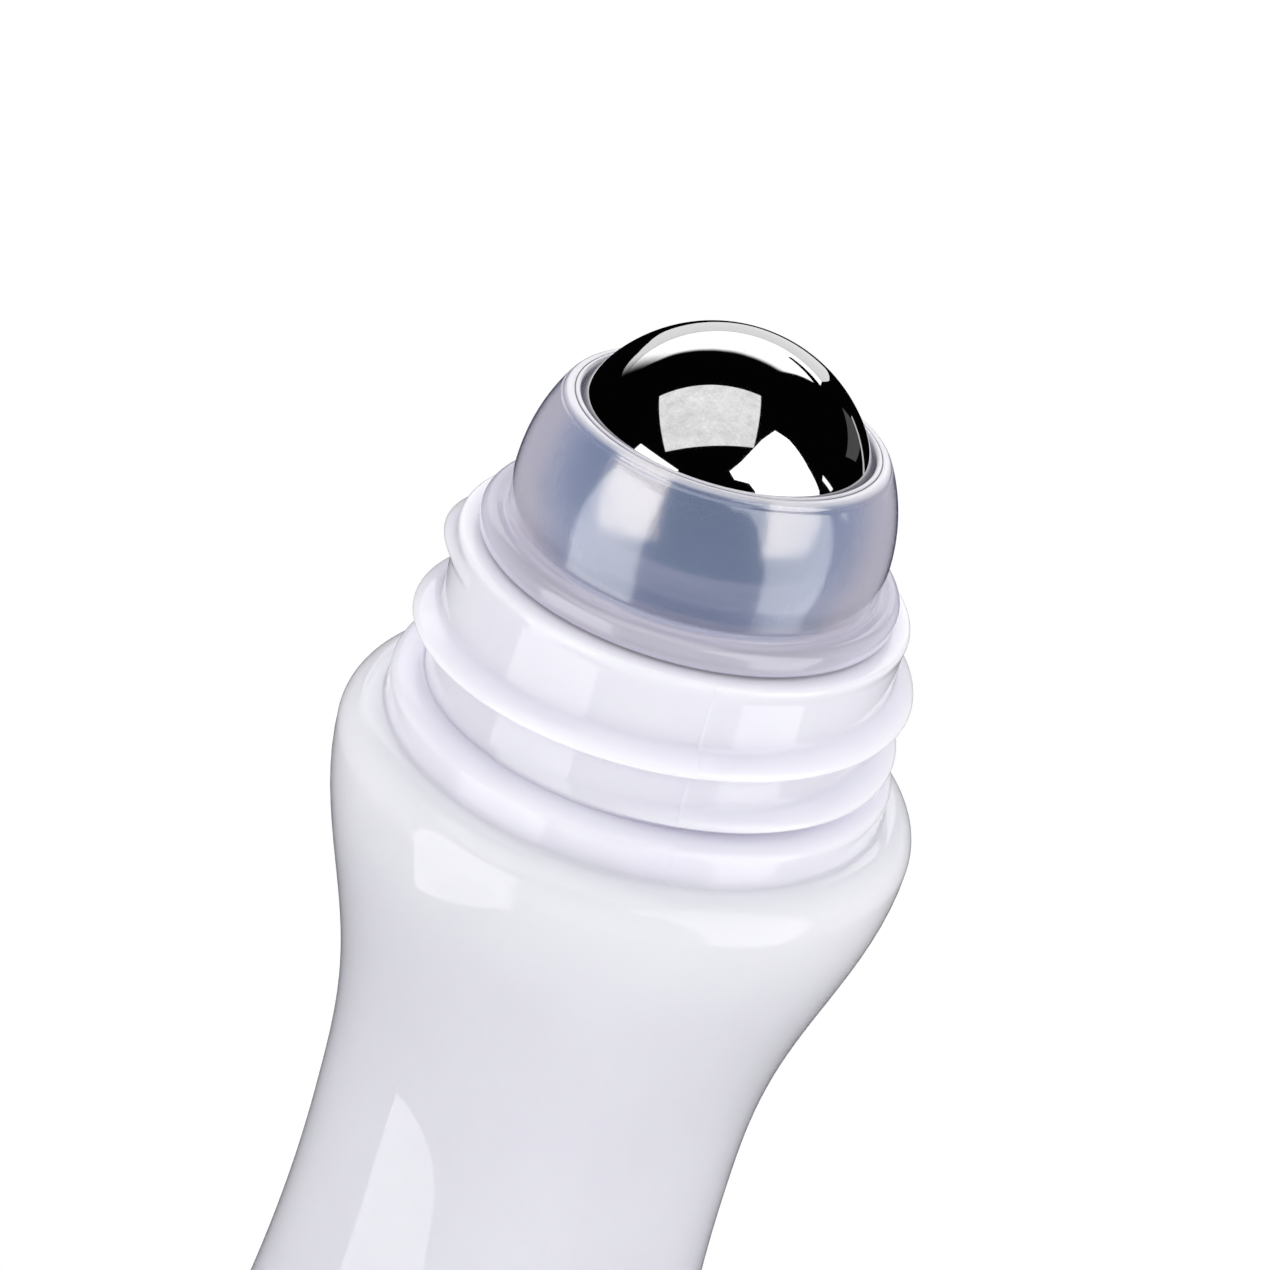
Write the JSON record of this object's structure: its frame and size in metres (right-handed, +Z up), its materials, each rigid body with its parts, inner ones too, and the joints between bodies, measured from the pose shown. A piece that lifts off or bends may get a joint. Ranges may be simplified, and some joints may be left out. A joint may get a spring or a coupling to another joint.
{
  "type": "roll-on bottle",
  "caption": "Waisted plastic roll-on bottle with a threaded neck and a snap-in housing that holds a turning steel ball; no cap.",
  "frame": {"origin": "centre of the base, on the plane that the bottle stands on", "axes": "+Z up along the bottle's axis to the ball, -Y towards the front of the neck thread"},
  "size_m": [0.0377, 0.0376, 0.1057],
  "materials": {
    "bottle_plastic": "glossy milky white",
    "housing_plastic": "glossy, translucent, natural polypropylene",
    "steel": "mirror-polished stainless steel"
  },
  "bodies": {
    "container": {"bottle": "bottle_plastic", "ball_housing": "housing_plastic"},
    "ball": {"roller_ball": "steel"}
  },
  "joints": [
    {"name": "ball_roll", "type": "hinge", "parent": "container", "child": "ball", "pos_m": [0, 0, 0.0957], "axis": [1, 0, 0], "continuous": true}
  ]
}
